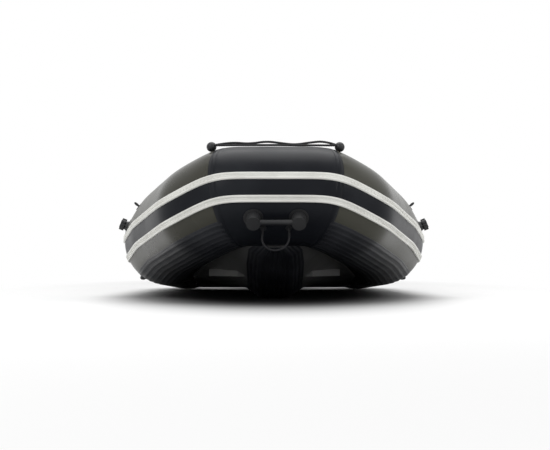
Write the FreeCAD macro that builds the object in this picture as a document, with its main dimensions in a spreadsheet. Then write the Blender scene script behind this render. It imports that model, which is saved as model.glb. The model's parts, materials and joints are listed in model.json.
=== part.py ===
import FreeCAD, Part
import Sketcher
import math
import os

# Soft inflatable boat with a raised bow, an air floor and a transom for an outboard motor.
# Millimetres. +Z is up, the bow points to -Y and port is +X. The origin is on the floor
# below the middle of the boat. Distances named "back" are measured aft from the nose tube.

V = FreeCAD.Vector
Placement = FreeCAD.Placement
Rotation = FreeCAD.Rotation

DIMENSIONS = {
    # the main tube: its size and the corners of its axis, port half
    "tube_radius": 235, "nose_half": 210, "nose_height": 505,
    "corner_half": 340, "corner_back": 332, "corner_height": 444,
    "shoulder_half": 514, "shoulder_back": 885, "shoulder_height": 366,
    "side_half": 591, "side_back": 1190, "side_height": 303,
    "side_end_back": 3040, "chamber_split_back": 1290,
    "cone_length": 470, "cone_tip_radius": 88, "cap_length": 30, "cap_wall": 6,
    # what is glued to the tube
    "patch_thickness": 0.8, "patch_low_angle": -88, "patch_high_angle": 84,
    "wear_thickness": 3, "wear_high_angle": -28.5, "wear_low_angle": -92,
    "upper_strake_angle": 20.7, "lower_strake_angle": -5.6,
    "strake_width": 34, "strake_height": 9, "strake_groove": 5,
    # the bottom
    "keel_flat_half": 78, "keel_knee_half": 142, "keel_knee_rise": 44, "keel_strip_thickness": 4,
    "skin_foot_angle": 35, "stern_foot_angle": 12, "stern_knee_rise": 10,
    "floor_bottom": 120, "floor_thickness": 70, "floor_half_width": 346,
    "floor_front_back": 600, "floor_front_half": 190, "floor_taper_back": 900, "floor_edge_radius": 18,
    # the transom and what it carries
    "transom_back": 2900, "transom_thickness": 35, "transom_top": 400, "transom_top_half": 240,
    "transom_shoulder_half": 310, "transom_shoulder_height": 345, "transom_bottom": 5, "transom_foot_half": 515,
    "holder_thickness": 6, "holder_reach": 55, "holder_half_height": 150,
    "outer_pad_width": 320, "outer_pad_height": 190, "outer_pad_thickness": 8,
    "inner_pad_width": 240, "inner_pad_height": 120, "inner_pad_thickness": 6, "pad_corner": 18,
    "trim_wall": 2, "trim_depth": 22,
    "drain_x": 215, "drain_height": 232, "drain_bore": 34, "drain_tube_radius": 20, "drain_gap": 0.3,
    "drain_flange_radius": 36, "drain_flange_thickness": 5,
    "stern_ring_x": 225, "stern_ring_height": 150, "ring_radius": 24, "ring_wire": 4,
    "ring_plate_width": 56, "ring_plate_thickness": 3,
    # the benches and their rails
    "rail_angle": 130, "rail_start_back": 1450, "rail_length": 1300, "rail_width": 64,
    "rail_base_thickness": 3, "rail_bead_radius": 7, "rail_bead_lift": 13, "rail_web": 5,
    "slider_clearance": 0.5, "slider_wall": 6, "slider_length": 70,
    "bench_width": 220, "bench_thickness": 24, "bench_half_length": 448, "bench_edge_radius": 5,
    "front_bench_back": 1700, "rear_bench_back": 2350,
    # fittings on the tubes
    "rowlock_back": 1250, "rowlock_angle": 22, "rowlock_plate_radius": 44, "rowlock_plate_thickness": 5,
    "rowlock_neck_radius": 22, "rowlock_neck_height": 20, "rowlock_pin_radius": 7,
    "rowlock_cap_radius": 33, "rowlock_cap_height": 24, "rowlock_lobes": 6, "rowlock_scallop": 11,
    "valve_back": 1345, "valve_angle": 122, "valve_flange_radius": 38, "valve_flange_thickness": 4,
    "valve_cap_radius": 26, "valve_cap_height": 13, "bow_valve_angle": 150,
    "floor_valve_x": 205, "floor_valve_back": 2780,
    "side_handle_back": 2000, "side_handle_angle": -40, "handle_plate_length": 210,
    "handle_plate_width": 70, "handle_plate_thickness": 4, "side_grip_length": 150,
    "side_grip_rise": 46, "side_grip_radius": 12,
    "bow_handle_angle": -28, "bow_boss_half_spacing": 104, "bow_boss_radius": 33, "bow_boss_cover": 4,
    "bow_plate_radius": 46, "bow_grip_radius": 13, "bow_grip_rise": 47,
    "line_ring_back": 1000, "line_ring_angle": 40, "line_ring_mid_back": 1780, "line_ring_aft_back": 2560,
    "line_plate_radius": 24, "line_plate_thickness": 3, "line_ring_radius": 13, "line_ring_wire": 3.5,
    "line_ring_side_angle": 52, "tow_anchor_half": 59, "tow_anchor_angle": -41.3, "tow_anchor_radius": 15,
    "rope_diameter": 12, "tow_rope_diameter": 10, "line_guide_radius": 24, "line_guide_half": 306,
    "line_guide_back": 256, "line_guide_height": 742,
}


class Size:
    """A length or angle that knows both its value and the expression it comes from."""

    def __init__(self, value, text):
        self.value = float(value)
        self.text = text

    def joined(self, other, sign, value):
        return Size(value, f"({self.text} {sign} {as_size(other).text})")

    def __add__(self, other):
        return self.joined(other, "+", self.value + float(other))

    def __sub__(self, other):
        return self.joined(other, "-", self.value - float(other))

    def __mul__(self, other):
        return self.joined(other, "*", self.value * float(other))

    def __truediv__(self, other):
        return self.joined(other, "/", self.value / float(other))

    def __neg__(self):
        return Size(-self.value, f"(-1 * {self.text})")

    def __float__(self):
        return self.value


def as_size(number):
    """Plain numbers become sizes too."""
    return number if isinstance(number, Size) else Size(number, repr(float(number)))


class Sizes:
    """Gives each driving dimension as a Size, by its name."""

    def __getattr__(self, name):
        return Size(DIMENSIONS[name], f"Dimensions.{name}")


doc = FreeCAD.newDocument("inflatable_boat")
sheet = doc.addObject("Spreadsheet::Sheet", "Dimensions")
for row, (name, number) in enumerate(DIMENSIONS.items(), start=1):
    sheet.set(f"A{row}", name)
    sheet.set(f"B{row}", str(number))
    sheet.setAlias(f"B{row}", name)
doc.recompute()
dim = Sizes()
nodes = []


def value(size):
    return float(size)


def bind(thing, **sizes):
    """Sets each property of a document object from its size's expression."""
    for prop, size in sizes.items():
        setattr(thing, prop, value(size))
        thing.setExpression(prop, as_size(size).text)
    return thing


def make(kind, name, **sizes):
    return bind(doc.addObject(kind, name), **sizes)


def combined(kind, name, base, tool):
    """A Part boolean of two objects."""
    result = doc.addObject(kind, name)
    result.Base = base
    result.Tool = tool
    return result


def fused(name, pieces):
    result = doc.addObject("Part::MultiFuse", name)
    result.Shapes = pieces
    return result


def rounded(name, base, radius, chosen):
    """A fillet on the edges of base that chosen(edge) picks."""
    doc.recompute()
    result = doc.addObject("Part::Fillet", name)
    result.Base = base
    result.Edges = [(i, radius, radius) for i, edge in enumerate(base.Shape.Edges, start=1) if chosen(edge)]
    return result


def node(name, thing):
    """Marks a document object as one of the boat's pieces."""
    thing.Label = name
    nodes.append(thing)
    return thing


def axes(origin, x_axis, y_axis, z_axis):
    """A placement from an origin and three unit axes."""
    turn = FreeCAD.Matrix(x_axis.x, y_axis.x, z_axis.x, origin.x,
                          x_axis.y, y_axis.y, z_axis.y, origin.y,
                          x_axis.z, y_axis.z, z_axis.z, origin.z, 0, 0, 0, 1)
    return Placement(turn)


# ---- the axis of the main tube ----

radius = value(dim.tube_radius)
bow_lean = math.radians(value(dim.bow_handle_angle))
boss_top = value(dim.bow_grip_rise + dim.bow_grip_radius + dim.bow_boss_cover)
bow_reach = ((radius + boss_top) * math.cos(bow_lean)
             - value(dim.bow_boss_radius) * math.sin(bow_lean) - radius)
side_fall = ((dim.side_height - dim.tube_radius - dim.wear_thickness).value
             / (dim.side_end_back - dim.side_back).value)
tail_length = (dim.cone_length + dim.cap_length).value * math.cos(math.atan(side_fall))
bow_y = bow_reach - (bow_reach + value(dim.side_end_back) + tail_length) / 2


def back(distance):
    """The Y of a place this far aft of the nose tube's front."""
    return bow_y + value(distance)


PORT, STARBOARD = 1, -1
stern_height = value(dim.tube_radius + dim.wear_thickness)
port_axis = [
    V(value(dim.nose_half), back(radius), value(dim.nose_height)),
    V(value(dim.corner_half), back(dim.corner_back), value(dim.corner_height)),
    V(value(dim.shoulder_half), back(dim.shoulder_back), value(dim.shoulder_height)),
    V(value(dim.side_half), back(dim.side_back), value(dim.side_height)),
    V(value(dim.side_half), back(dim.side_end_back), stern_height),
]


def mirrored(point):
    return V(-point.x, point.y, point.z)


axis = [mirrored(point) for point in reversed(port_axis)] + port_axis
runs = [(axis[i + 1] - axis[i]).normalize() for i in range(len(axis) - 1)]
FRONT_RUN = len(runs) // 2


def carried_frames():
    """The outward and upward directions of each run, carried across each mitre from the front run."""
    frames = {FRONT_RUN: (V(0, -1, 0), V(0, 0, 1))}
    for step in (1, -1):
        i = FRONT_RUN + step
        while 0 <= i < len(runs):
            turn = Rotation(runs[i - step], runs[i])
            frames[i] = tuple(turn.multVec(arrow) for arrow in frames[i - step])
            i += step
    return frames


frames = carried_frames()
along_side = V(0, math.cos(math.atan(side_fall)), -math.sin(math.atan(side_fall)))


def on_side(side, distance, angle, height, turned=0):
    """A place on a side tube: Z points straight off the tube and X runs aft along it.

    The angle is from outboard level, positive upward, and height is above the tube's wall."""
    out = V(side, 0, 0)
    up = V(0, math.sin(math.atan(side_fall)), math.cos(math.atan(side_fall)))
    start = V(side * value(dim.side_half), back(dim.side_back), value(dim.side_height))
    middle = start + along_side * ((value(distance) - value(dim.side_back)) / along_side.y)
    lean = math.radians(value(angle))
    radial = out * math.cos(lean) + up * math.sin(lean)
    place = axes(middle + radial * (radius + value(height)), along_side, radial.cross(along_side), radial)
    return place.multiply(Placement(V(), Rotation(V(0, 0, 1), turned)))


def on_shoulder(side, distance, angle, height):
    """The same on the run between the corner and the shoulder or between shoulder and side."""
    first, last = (port_axis[2], port_axis[3]) if back(distance) > port_axis[2].y else (port_axis[1], port_axis[2])
    share = (back(distance) - first.y) / (last.y - first.y)
    middle = first + (last - first) * share
    direction = (last - first).normalize()
    level = V(direction.y, -direction.x, 0).normalize()
    up = level.cross(direction)
    lean = math.radians(value(angle))
    radial = level * math.cos(lean) + up * math.sin(lean)
    place = middle + radial * (radius + value(height))
    if side == STARBOARD:
        place, radial, direction = mirrored(place), mirrored(radial), mirrored(direction)
    return axes(place, direction, radial.cross(direction), radial)


def on_nose(x_place, angle, height):
    """A place on the front run: Z points straight off the tube and X runs to port."""
    lean = math.radians(value(angle))
    radial = V(0, -math.cos(lean), math.sin(lean))
    middle = V(x_place, back(radius), value(dim.nose_height))
    return axes(middle + radial * (radius + value(height)), V(1, 0, 0), radial.cross(V(1, 0, 0)), radial)


# ---- the tube's chambers ----

path = doc.addObject("Part::Polygon", "collar_path")
path.Nodes = axis


def along_collar(name, section, path_object=path, count=len(runs)):
    """Sweeps a section round the collar's path, mitred at its corners."""
    sweep = doc.addObject("Part::Sweep", name)
    sweep.Sections = [section]
    sweep.Spine = (path_object, [f"Edge{i + 1}" for i in range(count)])
    sweep.Solid = True
    sweep.Frenet = False
    sweep.Transition = "Right corner"
    return sweep


ring_section = make("Part::Circle", "collar_section", Radius=dim.tube_radius)
ring_section.Placement = Placement(axis[0], Rotation(V(0, 0, 1), runs[0]))
collar = along_collar("collar", ring_section)

reach = value(dim.side_half) + radius + 100
split_y = back(dim.chamber_split_back)
height_room = value(dim.nose_height) + 2 * radius


def block(name, low, high):
    """A plain box between two corners, used to cut the collar apart."""
    box = doc.addObject("Part::Box", name)
    box.Length, box.Width, box.Height = high.x - low.x, high.y - low.y, high.z - low.z
    box.Placement.Base = low
    return box


front_block = block("front_block", V(-reach, back(-radius), -radius), V(reach, split_y, height_room))
far_y = back(dim.side_end_back) + radius
node("bow_tube", combined("Part::Common", "bow_tube", collar, front_block))
for side, word in ((PORT, "port"), (STARBOARD, "starboard")):
    low_x, high_x = (0, reach) if side == PORT else (-reach, 0)
    aft_block = block(f"{word}_block", V(low_x, split_y, -radius), V(high_x, far_y, height_room))
    node(f"{word}_tube", combined("Part::Common", f"{word}_tube", collar, aft_block))
    cone = make("Part::Cone", f"{word}_cone", Radius1=dim.tube_radius, Radius2=dim.cone_tip_radius,
                Height=dim.cone_length)
    stern_end = V(side * value(dim.side_half), back(dim.side_end_back), stern_height)
    cone.Placement = Placement(stern_end, Rotation(V(0, 0, 1), along_side))
    node(f"{word}_cone", cone)
    disc = make("Part::Cylinder", f"{word}_cap_disc", Radius=dim.cone_tip_radius + dim.cap_wall,
                Height=dim.cap_length)
    disc.Placement = Placement(stern_end + along_side * value(dim.cone_length), cone.Placement.Rotation)
    far_edge = value(dim.cap_length)
    node(f"{word}_cone_cap", rounded(f"{word}_cone_cap", disc, far_edge * 0.6,
                                     lambda edge: edge.Curve.TypeId == "Part::GeomCircle"
                                     and edge.CenterOfMass.y > back(dim.side_end_back) + value(dim.cone_length)
                                     + far_edge / 2))

# ---- what is glued round the tube ----


def polar(distance, degrees):
    lean = math.radians(degrees)
    return V(distance * math.cos(lean), distance * math.sin(lean), 0)


def arc_edge(distance, start, end):
    """An arc about the tube's axis between two angles."""
    return Part.Arc(polar(distance, start), polar(distance, (start + end) / 2), polar(distance, end)).toShape()


def section_at(name, wire, run_index, point):
    """A section wire drawn about the tube's axis, placed square to one run."""
    out, up = frames[run_index]
    section = doc.addObject("Part::Feature", name)
    section.Shape = wire
    section.Placement = axes(point, out, up, -runs[run_index])
    return section


def band_wire(low_angle, high_angle, inner, outer):
    """A flat band on the tube between two angles."""
    first, last = value(low_angle), value(high_angle)
    return Part.Wire([arc_edge(inner, first, last),
                      Part.makeLine(polar(inner, last), polar(outer, last)),
                      arc_edge(outer, last, first),
                      Part.makeLine(polar(outer, first), polar(inner, first))])


def strake_wire(angle):
    """A rubbing strake: two ridges with a groove between them."""
    foot = radius + value(dim.patch_thickness)
    crest = foot + value(dim.strake_height)
    groove = foot + value(dim.strake_groove)
    half = math.degrees(value(dim.strake_width) / 2 / radius)
    middle = value(angle)
    outline = [(foot, -1.0), (crest, -0.76), (crest, -0.42), (groove, -0.2),
               (groove, 0.2), (crest, 0.42), (crest, 0.76), (foot, 1.0)]
    corners = [polar(distance, middle + share * half) for distance, share in outline]
    edges = [Part.makeLine(corners[i], corners[i + 1]) for i in range(len(corners) - 1)]
    return Part.Wire(edges + [arc_edge(foot, middle + half, middle - half)])


for name, angle in (("upper_strake", dim.upper_strake_angle), ("lower_strake", dim.lower_strake_angle)):
    section = section_at(f"{name}_section", strake_wire(angle), 0, axis[0])
    node(name, along_collar(name, section))


def beyond_seam(side):
    """The space on the outer side of the seam where the front run meets a corner run."""
    seam = axis[FRONT_RUN + 1] if side == PORT else axis[FRONT_RUN]
    normal = (runs[FRONT_RUN] + runs[FRONT_RUN + 1]).normalize()
    if side == STARBOARD:
        normal = mirrored(normal)
    size = 3 * reach
    box = doc.addObject("Part::Box", "port_seam_space" if side == PORT else "starboard_seam_space")
    box.Length = box.Width = box.Height = size
    turn = Rotation(V(0, 0, 1), normal)
    box.Placement = Placement(seam + turn.multVec(V(-size / 2, -size / 2, 0)), turn)
    return box


port_space, starboard_space = beyond_seam(PORT), beyond_seam(STARBOARD)
front_path = doc.addObject("Part::Polygon", "front_path")
front_path.Nodes = axis[FRONT_RUN - 1:FRONT_RUN + 3]
patch_wire = band_wire(dim.patch_low_angle, dim.patch_high_angle, radius, radius + value(dim.patch_thickness))
patch_section = section_at("patch_section", patch_wire, FRONT_RUN - 1, axis[FRONT_RUN - 1])
patch_run = along_collar("patch_run", patch_section, front_path, 3)
port_trim = combined("Part::Cut", "patch_port_trim", patch_run, port_space)
nose_patch = node("nose_patch", combined("Part::Cut", "nose_patch", port_trim, starboard_space))

wear_wire = band_wire(dim.wear_low_angle, dim.wear_high_angle, radius, radius + value(dim.wear_thickness))
wear_section = section_at("wear_section", wear_wire, 0, axis[0])
wear_run = along_collar("wear_run", wear_section)
node("port_wear_strip", combined("Part::Common", "port_wear_strip", wear_run, port_space))
node("starboard_wear_strip", combined("Part::Common", "starboard_wear_strip", wear_run, starboard_space))

# ---- the bottom ----

# aft distance and height of the keel line, up the bow and then along the floor
KEEL_LINE = [(200, 262), (300, 214), (420, 148), (560, 84), (720, 34), (900, 9), (1080, 4)]


def axis_at(distance):
    """The half width and height of the tube's axis, this far back."""
    place = back(distance)
    for first, last in zip(port_axis, port_axis[1:]):
        if place <= last.y or last is port_axis[-1]:
            share = max(0, (place - first.y) / (last.y - first.y))
            point = first + (last - first) * share
            return point.x, point.z


def bottom_corners(distance, keel_height):
    """The half outline of the bottom at one station, from the keel's middle to its tube."""
    half, height = axis_at(distance)
    aft = max(0, (distance - value(dim.side_back)) / value(dim.transom_back - dim.side_back))
    foot = math.radians(value(dim.skin_foot_angle) * (1 - aft) + value(dim.stern_foot_angle) * aft)
    knee = value(dim.keel_knee_rise) * (1 - aft) + value(dim.stern_knee_rise) * aft
    edge = (half - radius * math.sin(foot), height - radius * math.cos(foot))
    narrow = min(1, edge[0] / (value(dim.keel_knee_half) + 40))
    rise = min(knee, (edge[1] - keel_height) * 0.8) if aft < 1 else knee
    return [(value(dim.keel_flat_half) * narrow, keel_height),
            (value(dim.keel_knee_half) * narrow, keel_height + rise), edge]


def closed_section(name, corners, distance):
    """A closed outline across the boat, from the port half of its corners."""
    points = [V(-x, back(distance), z) for x, z in reversed(corners)]
    points += [V(x, back(distance), z) for x, z in corners]
    section = doc.addObject("Part::Polygon", name)
    section.Nodes = points
    section.Close = True
    return section


def lofted(name, sections):
    loft = doc.addObject("Part::Loft", name)
    loft.Sections = sections
    loft.Solid = True
    loft.Ruled = True
    return loft


stations = KEEL_LINE + [(value(dim.side_back), 4), (value(dim.transom_back), 4)]
skin_sections, strip_sections = [], []
for number, (distance, keel_height) in enumerate(stations):
    corners = bottom_corners(distance, keel_height)
    roof = max(corners[-1][1] + 10, value(dim.floor_bottom) + 10)
    skin_sections.append(closed_section(f"skin_{number}", corners + [(corners[-1][0], roof)], distance))
    thin = value(dim.keel_strip_thickness)
    lower = [(x, z - thin) for x, z in corners[:2]]
    strip_sections.append(closed_section(f"strip_{number}", lower + list(reversed(corners[:2])), distance))

skin_loft = lofted("skin_loft", skin_sections)
skin_trim = combined("Part::Cut", "skin_trim", skin_loft, collar)

floor_body = doc.addObject("PartDesign::Body", "air_floor")


def origin_plane(body, role):
    return next(plane for plane in body.Origin.OriginFeatures if plane.Role == role)


def outline_sketch(body, role, corners, name):
    """A closed sketch whose corners are dimensioned from the origin by their sizes."""
    sketch = body.newObject("Sketcher::SketchObject", name)
    sketch.AttachmentSupport = [(origin_plane(body, role), "")]
    sketch.MapMode = "FlatFace"
    count = len(corners)
    points = [V(value(x), value(y), 0) for x, y in corners]
    for i in range(count):
        sketch.addGeometry(Part.LineSegment(points[i], points[(i + 1) % count]), False)
    for i in range(count):
        sketch.addConstraint(Sketcher.Constraint("Coincident", i, 2, (i + 1) % count, 1))
    for i, (x, y) in enumerate(corners):
        for kind, letter, size in (("DistanceX", "x", x), ("DistanceY", "y", y)):
            index = sketch.addConstraint(Sketcher.Constraint(kind, -1, 1, i, 1, value(size)))
            sketch.renameConstraint(index, f"{letter}{i}")
            sketch.setExpression(f"Constraints.{letter}{i}", as_size(size).text)
    return sketch


def both_sides(half):
    """A whole outline from its +X half, listed from one end to the other."""
    return half + [(-x, y) for x, y in reversed(half)]


def pad(body, sketch, length, name):
    feature = body.newObject("PartDesign::Pad", name)
    feature.Profile = sketch
    bind(feature, Length=length)
    body.Tip = feature
    return feature


def filleted(body, feature, size, name, chosen):
    """Rounds the edges of a body's feature that chosen(edge) picks."""
    doc.recompute()
    picks = [f"Edge{i}" for i, edge in enumerate(feature.Shape.Edges, start=1) if chosen(edge)]
    fillet = body.newObject("PartDesign::Fillet", name)
    fillet.Base = (feature, picks)
    bind(fillet, Radius=size)
    body.Tip = fillet
    return fillet


def level_edge(level):
    """Picks the edges that lie wholly at one local height."""
    return lambda edge: abs(edge.BoundBox.ZMin - level) < 0.01 and abs(edge.BoundBox.ZMax - level) < 0.01


floor_gap = Size(0.3, "0.3")
floor_end = dim.transom_back - dim.inner_pad_thickness - floor_gap
floor_outline = both_sides([(dim.floor_front_half, dim.floor_front_back),
                            (dim.floor_half_width, dim.floor_taper_back),
                            (dim.floor_half_width, floor_end)])
floor_sketch = outline_sketch(floor_body, "XY_Plane", floor_outline, "floor_outline")
floor_pad = pad(floor_body, floor_sketch, dim.floor_thickness, "floor_pad")
filleted(floor_body, floor_pad, dim.floor_edge_radius, "floor_round", level_edge(value(dim.floor_thickness)))
floor_body.Placement.Base = V(0, bow_y, value(dim.floor_bottom))
node("air_floor", floor_body)

skin_below_floor = combined("Part::Cut", "skin_below_floor", skin_trim, floor_body)
skin_behind_patch = combined("Part::Cut", "skin_behind_patch", skin_below_floor, nose_patch)
node("hull_skin", combined("Part::Cut", "hull_skin", skin_behind_patch, wear_run))
strip_loft = lofted("strip_loft", strip_sections)
strip_trim = combined("Part::Cut", "strip_trim", strip_loft, collar)
node("keel_strip", combined("Part::Cut", "keel_strip", strip_trim, nose_patch))

# ---- the transom ----

transom_body = doc.addObject("PartDesign::Body", "transom_blank")
knee_height = dim.transom_bottom + dim.stern_knee_rise
transom_outline = both_sides([(dim.keel_flat_half, dim.transom_bottom),
                              (dim.keel_knee_half, knee_height),
                              (dim.transom_foot_half, knee_height),
                              (dim.side_half - dim.tube_radius + 110, dim.transom_shoulder_height),
                              (dim.transom_shoulder_half, dim.transom_shoulder_height),
                              (dim.transom_top_half, dim.transom_top)])
transom_sketch = outline_sketch(transom_body, "XZ_Plane", transom_outline, "transom_outline")
pad(transom_body, transom_sketch, dim.transom_thickness, "transom_pad")
transom_body.Placement.Base = V(0, back(dim.transom_back + dim.transom_thickness), 0)

holder_back = dim.transom_back - dim.holder_reach
holder_length = dim.holder_reach * 2 + dim.transom_thickness
trimmed = transom_body
for side, word in ((PORT, "port"), (STARBOARD, "starboard")):
    place = on_side(side, dim.side_back, 0, -radius)
    core = make("Part::Cylinder", f"{word}_holder_core", Radius=dim.tube_radius + dim.holder_thickness,
                Height=dim.side_end_back - dim.side_back)
    core.Placement = Placement(place.Base, Rotation(V(0, 0, 1), along_side))
    trimmed = combined("Part::Cut", f"transom_{word}_cut", trimmed, core)
    low_y, high_y = back(holder_back), back(holder_back + holder_length)
    inner = side * (value(dim.side_half) - radius - value(dim.holder_thickness))
    outer = inner + side * radius * 0.55
    middle_z = stern_height + side_fall * value(dim.side_end_back - dim.transom_back)
    half_height = value(dim.holder_half_height)
    room = block(f"{word}_holder_room", V(min(inner, outer), low_y, middle_z - half_height),
                 V(max(inner, outer), high_y, middle_z + half_height))
    ring = combined("Part::Cut", f"{word}_holder_ring", core, collar)
    holder = combined("Part::Common", f"{word}_holder_arc", ring, room)
    clear_floor = combined("Part::Cut", f"{word}_holder_clear", holder, floor_body)
    node(f"{word}_transom_holder", combined("Part::Cut", f"{word}_transom_holder", clear_floor, skin_loft))

drain_y = back(dim.transom_back)
drain_hole = make("Part::Cylinder", "drain_hole", Radius=dim.drain_tube_radius + dim.drain_gap,
                  Height=dim.transom_thickness * 3)
aft = Rotation(V(0, 0, 1), V(0, 1, 0))
drain_hole.Placement = Placement(V(value(dim.drain_x), drain_y - value(dim.transom_thickness),
                                   value(dim.drain_height)), aft)
node("transom", combined("Part::Cut", "transom", trimmed, drain_hole))


def motor_pad(name, width, height, thickness, face_y, label):
    """A plate with round corners for the motor's clamps, level with the transom's top."""
    body = doc.addObject("PartDesign::Body", name)
    half = width / 2
    outline = both_sides([(half, Size(0, "0")), (half, height)])
    sketch = outline_sketch(body, "XZ_Plane", outline, f"{name}_outline")
    plate = pad(body, sketch, thickness, f"{name}_pad")
    filleted(body, plate, dim.pad_corner, f"{name}_round",
             lambda edge: edge.BoundBox.XLength < 0.01 and edge.BoundBox.ZLength < 0.01)
    body.Placement.Base = V(0, face_y, value(dim.transom_top - dim.trim_depth - 3 - height))
    return node(label, body)


motor_pad("outer_pad_body", dim.outer_pad_width, dim.outer_pad_height, dim.outer_pad_thickness,
          back(dim.transom_back + dim.transom_thickness + dim.outer_pad_thickness), "outer_motor_pad")
motor_pad("inner_pad_body", dim.inner_pad_width, dim.inner_pad_height, dim.inner_pad_thickness,
          back(dim.transom_back), "inner_motor_pad")

trim_outer = block("trim_outer",
                   V(-value(dim.transom_top_half), back(dim.transom_back - dim.trim_wall),
                     value(dim.transom_top - dim.trim_depth)),
                   V(value(dim.transom_top_half),
                     back(dim.transom_back + dim.transom_thickness + dim.trim_wall),
                     value(dim.transom_top + dim.trim_wall)))
trim_body = combined("Part::Cut", "transom_trim", trim_outer, transom_body)
node("transom_trim", trim_body)

drain_tube = make("Part::Cylinder", "drain_tube", Radius=dim.drain_tube_radius,
                  Height=dim.transom_thickness + dim.drain_flange_thickness)
drain_flange = make("Part::Cylinder", "drain_flange", Radius=dim.drain_flange_radius,
                    Height=dim.drain_flange_thickness)
drain_bore = make("Part::Cylinder", "drain_bore", Radius=dim.drain_bore / 2,
                  Height=dim.transom_thickness + dim.drain_flange_thickness * 2)
drain_centre = V(value(dim.drain_x), drain_y, value(dim.drain_height))
drain_tube.Placement = Placement(drain_centre, aft)
drain_aft = V(drain_centre.x, back(dim.transom_back + dim.transom_thickness), drain_centre.z)
drain_flange.Placement = Placement(drain_aft, aft)
drain_bore.Placement = Placement(drain_centre, aft)
drain_solid = fused("drain_solid", [drain_tube, drain_flange])
node("drain_valve", combined("Part::Cut", "drain_valve", drain_solid, drain_bore))
plug_gap = Size(0.3, "0.3")
plug_stem = make("Part::Cylinder", "plug_stem", Radius=dim.drain_bore / 2 - plug_gap,
                 Height=dim.drain_flange_thickness + 12)
plug_head = make("Part::Cylinder", "plug_head", Radius=dim.drain_bore / 2 + 6, Height=Size(9, "9"))
plug_stem.Placement = Placement(drain_aft + V(0, -12, 0), aft)
plug_head.Placement = Placement(drain_aft + V(0, value(dim.drain_flange_thickness), 0), aft)
node("drain_plug", fused("drain_plug", [plug_stem, plug_head]))


def eye_ring(name, plate_width, plate_thickness, ring, wire, place):
    """A plate with a ring standing on it, as one fused piece; the ring's plane holds the plate's X."""
    plate = make("Part::Cylinder", f"{name}_plate", Radius=plate_width / 2, Height=plate_thickness)
    plate.Placement = place
    loop = make("Part::Torus", f"{name}_loop", Radius1=ring, Radius2=wire)
    lift = value(plate_thickness / 2 + ring + wire)
    loop.Placement = place.multiply(Placement(V(0, 0, lift), Rotation(V(1, 0, 0), 90)))
    return fused(name, [plate, loop])


stern_rings = []
stern_face = back(dim.transom_back + dim.transom_thickness)
for side, word in ((PORT, "port"), (STARBOARD, "starboard")):
    place = axes(V(side * value(dim.stern_ring_x), stern_face, value(dim.stern_ring_height)),
                 V(0, 0, 1), V(1, 0, 0), V(0, 1, 0))
    stern_rings.append(eye_ring(f"{word}_stern_ring", dim.ring_plate_width, dim.ring_plate_thickness,
                                dim.ring_radius, dim.ring_wire, place))
pair = doc.addObject("Part::Compound", "stern_rings")
pair.Links = stern_rings
node("stern_rings", pair)

# ---- the benches on their rails ----


def local_box(name, low, high, place):
    """A box between two local corners, carried by a placement."""
    box = doc.addObject("Part::Box", name)
    box.Length, box.Width, box.Height = high.x - low.x, high.y - low.y, high.z - low.z
    box.Placement = place.multiply(Placement(low, Rotation()))
    return box


def seat_rail(side, word):
    """A base strip on the tube with a round bead on a web, which the bench's sliders hook over."""
    place = on_side(side, dim.rail_start_back, dim.rail_angle, 0)
    length = value(dim.rail_length)
    base = value(dim.rail_base_thickness)
    lift = value(dim.rail_bead_lift)
    strip = local_box(f"{word}_rail_strip", V(0, -value(dim.rail_width) / 2, 0.3),
                      V(length, value(dim.rail_width) / 2, base), place)
    web = local_box(f"{word}_rail_web", V(0, -value(dim.rail_web) / 2, base - 1),
                    V(length, value(dim.rail_web) / 2, lift), place)
    bead = make("Part::Cylinder", f"{word}_rail_bead", Radius=dim.rail_bead_radius, Height=dim.rail_length)
    bead.Placement = place.multiply(Placement(V(0, 0, lift), Rotation(V(0, 1, 0), 90)))
    node(f"{word}_seat_rail", fused(f"{word}_seat_rail", [strip, web, bead]))


def slider(side, word, bench_word, bench_back):
    """The moulded hook at one end of a bench: it wraps the bead and carries the board on its top."""
    place = on_side(side, bench_back, dim.rail_angle, 0)
    half = value(dim.slider_length) / 2
    gap = value(dim.slider_clearance)
    wall = value(dim.slider_wall)
    lift = value(dim.rail_bead_lift)
    bead = value(dim.rail_bead_radius)
    outer = bead + gap + wall
    name = f"{bench_word}_{word}_slider"
    shell = local_box(f"{name}_shell", V(-half, -outer, value(dim.rail_base_thickness) + 2),
                      V(half, outer, lift + outer), place)
    groove = make("Part::Cylinder", f"{name}_groove", Radius=dim.rail_bead_radius + dim.slider_clearance,
                  Height=dim.slider_length + 2)
    groove.Placement = place.multiply(Placement(V(-half - 1, 0, lift), Rotation(V(0, 1, 0), 90)))
    slot = local_box(f"{name}_slot", V(-half - 1, -value(dim.rail_web) / 2 - gap, 0),
                     V(half + 1, value(dim.rail_web) / 2 + gap, lift), place)
    centre = place.multVec(V(0, 0, lift))
    flat = axes(centre, along_side, V(1, 0, 0).cross(along_side), V(1, 0, 0))
    inboard, outboard = value(dim.slider_length), outer - 2
    low_x, high_x = (-inboard, outboard) if side == PORT else (-outboard, inboard)
    upright = local_box(f"{name}_shoe", V(-half, bead + gap, low_x), V(half, board_lift(), high_x), flat)
    cutters = fused(f"{name}_space", [groove, slot])
    return combined("Part::Cut", name, fused(f"{name}_solid", [shell, upright]), cutters)


def board_lift():
    """How far the board's underside is above the bead's axis."""
    return value(dim.rail_bead_radius + dim.slider_clearance + dim.slider_wall) + 6


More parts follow.
